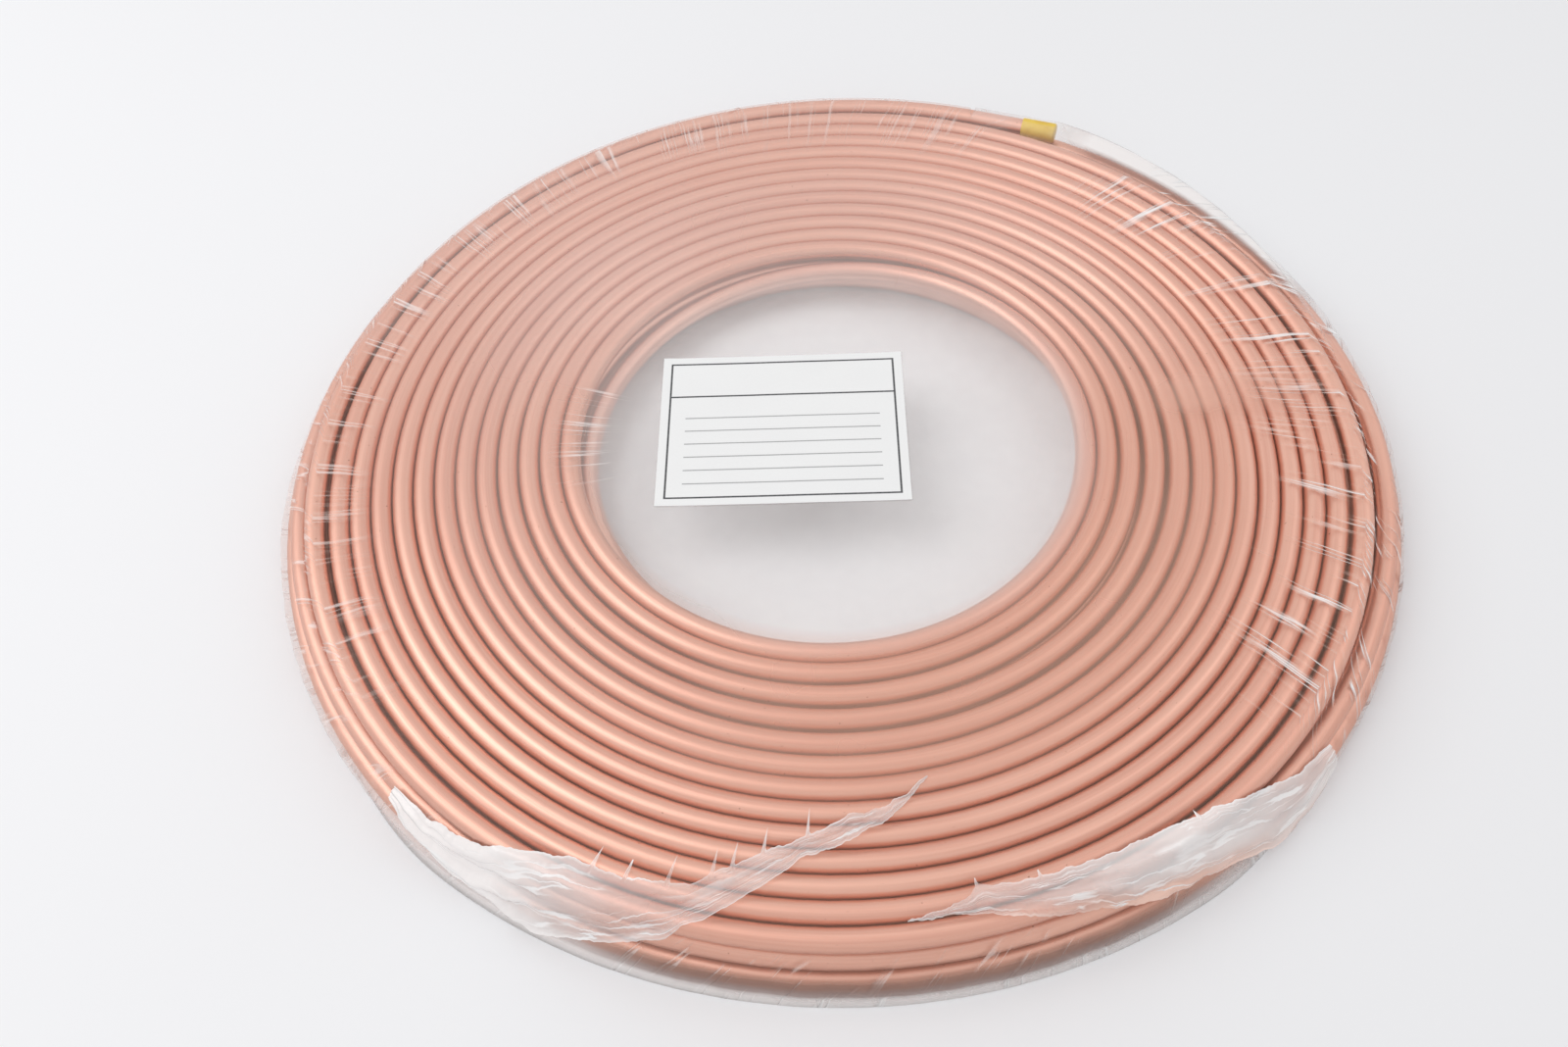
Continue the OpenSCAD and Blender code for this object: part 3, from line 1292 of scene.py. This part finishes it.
@dataclass
class Flap:
    """A torn, crumpled end of the film that lies on the wrap."""

    name: str
    wrap: Wrap
    angles: Sequence[float]
    inner: Sequence[float]
    outer: Sequence[float]
    haze: Sequence[float]
    hairs: Sequence[Point]
    flat: Point
    seed: float
    lift: float = 0.35
    crumple: float = 1.9
    folds_along: float = 3.5
    folds_across: float = 3.2
    ridge_sharpness: float = 2.6
    ridge_share: float = 0.7
    fine_share: float = 0.25
    puff: float = 0.15
    full_width: float = 6.0
    side_drop: float = 5.0
    rags: Sequence[Point] = ((0.6, 0.9), (2.3, 0.3))
    least_width: float = 0.4
    hair_width: float = 0.18
    hair_rows: float = 9.0
    edge_width: float = 0.6
    edge_haze: float = 0.5
    least_crease: float = 0.5
    least_glow: float = 0.1
    glow_shares: Ramp = Ramp(0.55, 0.9)
    # Painted bounce light from the copper along the flap's outer edge.
    painted_bounce_edge: float = 0.0
    across: int = 420
    rows: int = 28

    def span(self, degrees: float) -> Point:
        """Where the flap's two ragged edges are.

        Args:
            degrees: Direction of the section.

        Returns:
            Radius of the inner and of the outer edge, in millimetres.
        """
        radii = []
        for salt, edge in ((1.0, self.inner), (2.0, self.outer)):
            radius = float(np.interp(degrees, self.angles, edge))
            for k, (often, reach) in enumerate(self.rags):
                radius += noise.noise(Vector((degrees * often, salt, self.seed + 5 * k))) * reach
            radii.append(radius)
        return radii[0], max(radii[1], radii[0] + self.least_width)

    def hair(self, degrees: float) -> float:
        """Length of the hairs that stand out from the inner edge in a direction, in millimetres."""
        spans = (length * (1 - abs(degrees - middle) / self.hair_width) for middle, length in self.hairs)
        return max(0.0, *spans)

    def direction(self, around: float) -> float:
        """Direction in degrees from the share along the flap."""
        return self.angles[0] + around * (self.angles[-1] - self.angles[0])

    def place(self, around: float, outwards: float) -> Vector:
        """Point of the flap.

        Args:
            around: Share along the flap.
            outwards: Share from its inner edge to its outer one.

        Returns:
            The point in metres.
        """
        degrees = self.direction(around)
        inner, outer = self.span(degrees)
        radius = inner + outwards * (outer - inner)
        radius -= self.hair(degrees) * max(0.0, 1 - outwards * self.hair_rows)
        lain, height = self.wrap.lie(degrees, radius)
        length = around * self.folds_along
        wide = outwards * self.folds_across
        ridge = 1 - abs(noise.noise(Vector((length, wide, self.seed)))) * self.ridge_sharpness
        fine = noise.noise(Vector((length * 3, wide * 2.2, self.seed + 9)))
        width = min(1.0, (outer - inner) / self.full_width) * min(1.0, 6 * outwards + 0.2)
        fold = max(0.0, self.ridge_share * ridge + self.fine_share * fine + self.puff)
        up = self.lift + self.crumple * width * fold
        over = smooth_step(self.wrap.top_z, self.wrap.top_z - self.side_drop, height)
        return polar(lain + up * over, math.radians(degrees), height + up * (1 - over))

    def whiteness(self, around: float, outwards: float) -> float:
        """Haziness of the flap at a point: thick at its root and along its edges.

        Args:
            around: Share along the flap.
            outwards: Share from its inner edge to its outer one.

        Returns:
            A number that is 0 for clear film and about 1 for white film.
        """
        degrees = self.direction(around)
        inner, outer = self.span(degrees)
        to_edge = min(outwards, 1 - outwards) * (outer - inner)
        edge = 1 - smooth_step(0.0, self.edge_width, to_edge)
        return float(np.interp(degrees, self.angles, self.haze)) + self.edge_haze * edge

    def glow(self, around: float, outwards: float) -> float:
        """How much painted bounce light from the copper the flap has at a point: most along its outer edge.
        """
        return self.least_glow + self.painted_bounce_edge * self.glow_shares.at(outwards) * math.sin(math.pi * around)

    def build(self) -> Piece:
        """Makes the flap.

        Returns:
            The film, with its haze, creases and painted bounce light stored on it.
        """
        film = grid_sheet(self.name, self.across, self.rows, self.place)
        shares = np.zeros((len(film.data.vertices), 2))
        for loop, corner in zip(film.data.loops, film.data.uv_layers.active.data):
            shares[loop.vertex_index] = corner.uv
        set_values(film, "haze", [self.whiteness(*pair) for pair in shares])
        # Creases grow towards the outer edge; their white lines are partly creased film, partly painted
        # glints.
        more = 1 - self.least_crease
        set_values(film, "crease", [self.least_crease + more * outwards**2 for _, outwards in shares])
        set_values(film, "warmth", [self.glow(*pair) for pair in shares])
        shade(film, 180.0)
        return film

    def dress(self, material: Material) -> None:
        """Builds the flap and hands it over."""
        film = self.build()
        hand_over(film, material, Slot.FILM)


@dataclass
class Label:
    """Paper label that lies on the film over the bore, in millimetres."""

    finish: PaperFinish = field(default_factory=PaperFinish)
    centre: Point = (-16.0, 1.0)
    turn: float = -3.0
    bottom_z: float = 21.05
    thickness: float = 0.12
    lift: float = 0.02
    wave: float = 0.06
    waves: float = 0.05
    curl: float = 0.25
    curl_tightness: int = 6
    columns: int = 40
    rows: int = 32

    def place(self, across: float, up: float) -> Vector:
        """Point of the label.

        Args:
            across: Share from its left edge to its right one.
            up: Share from its lower edge up.

        Returns:
            The point in metres.
        """
        right = (across - 0.5) * self.finish.width
        high = (up - 0.5) * self.finish.height
        turn = math.radians(self.turn)
        x = self.centre[0] + right * math.cos(turn) - high * math.sin(turn)
        y = self.centre[1] + right * math.sin(turn) + high * math.cos(turn)
        tight = self.curl_tightness
        corner = (abs(across - 0.5) * 2) ** tight * (abs(up - 0.5) * 2) ** tight
        wave = noise.noise(Vector((right * self.waves, high * self.waves, 3.0))) * self.wave + self.wave
        return Vector((x, y, self.bottom_z + self.lift + wave + corner * self.curl)) * MM

    def dress(self) -> None:
        """Builds the label and hands it over."""
        label = grid_sheet("paper_label", self.columns, self.rows, self.place)
        apply_modifier(label, "SOLIDIFY", thickness=self.thickness * MM, offset=1.0)
        shade(label, 50.0)
        hand_over(label, self.finish.material(), Slot.PAPER, ["label"])


@dataclass(frozen=True)
class Lamp:
    """A soft lamp that faces the part, in metres and watts."""

    name: str
    place: tuple[float, float, float]
    power: float
    size: Point

    def hang(self) -> None:
        """Hangs the lamp in the scene."""
        light = bpy.data.lights.new(self.name, "AREA")
        light.shape = "RECTANGLE"
        light.size, light.size_y = self.size
        light.energy = self.power
        place = Vector(self.place)
        facing = place.to_track_quat("Z", "Y").to_matrix().to_4x4()
        holder = bpy.data.objects.new(self.name, light)
        holder.matrix_world = Matrix.Translation(place) @ facing
        bpy.context.scene.collection.objects.link(holder)


@dataclass
class Studio:
    """Floor, light and camera, in metres and degrees."""

    floor_size: float = 12.0
    camera_place: tuple[float, float, float] = (-0.0176, -0.2584, 0.3266)
    camera_down: float = 53.99
    camera_roll: float = -3.935
    lens: float = 29.43
    lamps: Sequence[Lamp] = (
        Lamp("left_lamp", (-0.78, 0.05, 0.95), 5.0, (0.75, 1.1)),
        Lamp("right_lamp", (0.72, 0.1, 0.95), 0.9, (0.55, 0.8)),
    )
    sky: float = 0.72
    backdrop: Colour = (0.93, 0.935, 0.95)

    def lay_floor(self) -> None:
        """Lays the floor under the part."""
        start_fresh()
        bpy.ops.mesh.primitive_plane_add(size=self.floor_size)
        floor = bpy.context.active_object
        floor.name = "studio_floor"
        floor.data.materials.append(FloorFinish().material())

    def light(self) -> None:
        """Hangs the lamps and lights the room evenly."""
        for lamp in self.lamps:
            lamp.hang()
        self.paint_room()

    def paint_room(self) -> None:
        """Gives the room its even light, and a pale wall where it is seen, mirrored or seen through."""
        net = Net.room("studio_room")
        rays = net.add("ShaderNodeLightPath")
        seen = rays["Is Camera Ray"].most(rays["Is Glossy Ray"]).most(rays["Is Transmission Ray"])
        even = net.add("ShaderNodeBackground", None, {"Color": (1.0, 1.0, 1.0, 1.0), "Strength": self.sky})
        wall = net.add("ShaderNodeBackground", None, {"Color": (*self.backdrop, 1.0)})
        net.show(net.add("ShaderNodeMixShader", None, {0: seen, 1: even[0], 2: wall[0]})[0])
        bpy.context.scene.world = net.owner

    def set_camera(self) -> None:
        """Puts the camera where it looks down on the coil."""
        camera = bpy.data.objects.new("camera", bpy.data.cameras.new("camera"))
        camera.data.sensor_width = 36.0
        camera.data.lens = self.lens
        camera.data.clip_start = 0.01
        tilt = Matrix.Rotation(math.radians(90 - self.camera_down), 4, "X")
        roll = Matrix.Rotation(math.radians(self.camera_roll), 4, "Z")
        camera.matrix_world = Matrix.Translation(self.camera_place) @ tilt @ roll
        bpy.context.scene.collection.objects.link(camera)
        bpy.context.scene.camera = camera

    def set_up(self) -> None:
        """Sets up the whole studio."""
        bpy.context.scene.view_settings.view_transform = "Standard"
        self.set_camera()
        self.lay_floor()
        self.light()


def make_flaps(wrap: Wrap) -> list[Flap]:
    """The two torn ends of the film at the near rim.

    Args:
        wrap: The film that they lie on.

    Returns:
        The left and the right flap.
    """
    left = Flap(
        "film_flap_left",
        wrap,
        angles=(221, 226, 231, 235, 240, 246, 252, 255, 258, 262, 267, 272, 277),
        inner=(168.5, 168, 165, 160, 155, 154, 151, 145, 140, 135, 129, 126.5, 120),
        outer=(172, 178, 181, 182, 180, 174, 163, 157, 150, 141, 136, 130, 120.5),
        haze=(1.7, 1.7, 1.5, 1.2, 0.8, 0.4, 0.35, 0.4, 0.5, 0.5, 0.5, 0.5, 0.5),
        hairs=((242.7, 7), (246, 8), (249.9, 9), (253.7, 8.5), (255.5, 8), (258.3, 8), (262.7, 9)),
        flat=(0.165, 0.0155),
        seed=11.0,
    )
    right = Flap(
        "film_flap_right",
        wrap,
        angles=(272, 276, 279, 284, 288, 292, 298, 303, 307, 312, 317),
        inner=(156.5, 154.5, 151, 152.5, 153.5, 154, 155.5, 158.5, 162, 168, 171),
        outer=(157, 156.5, 158.5, 162.5, 164.5, 168.5, 172.5, 176, 181, 181, 176),
        haze=(0.6, 0.4, 0.45, 0.55, 0.75, 0.9, 1.0, 1.0, 0.95, 0.8, 0.6),
        hairs=((278.8, 3.0), (284.7, 2.5), (300.7, 2.5)),
        flat=(0.13, 0.0145),
        seed=37.0,
        painted_bounce_edge=0.7,
    )
    return [left, right]


def main() -> None:
    """Builds the coil piece by piece."""
    logging.basicConfig(level=logging.INFO, format="%(name)s: %(message)s")
    Studio().set_up()
    winding = Winding()
    WoundTube(winding).dress()
    EndCap(winding).dress()
    wrap = Wrap(winding)
    wrap.dress()
    torn = FilmFinish.torn().material()
    for flap in make_flaps(wrap):
        flap.dress(torn)
    Label().dress()


if __name__ == "__main__":
    main()
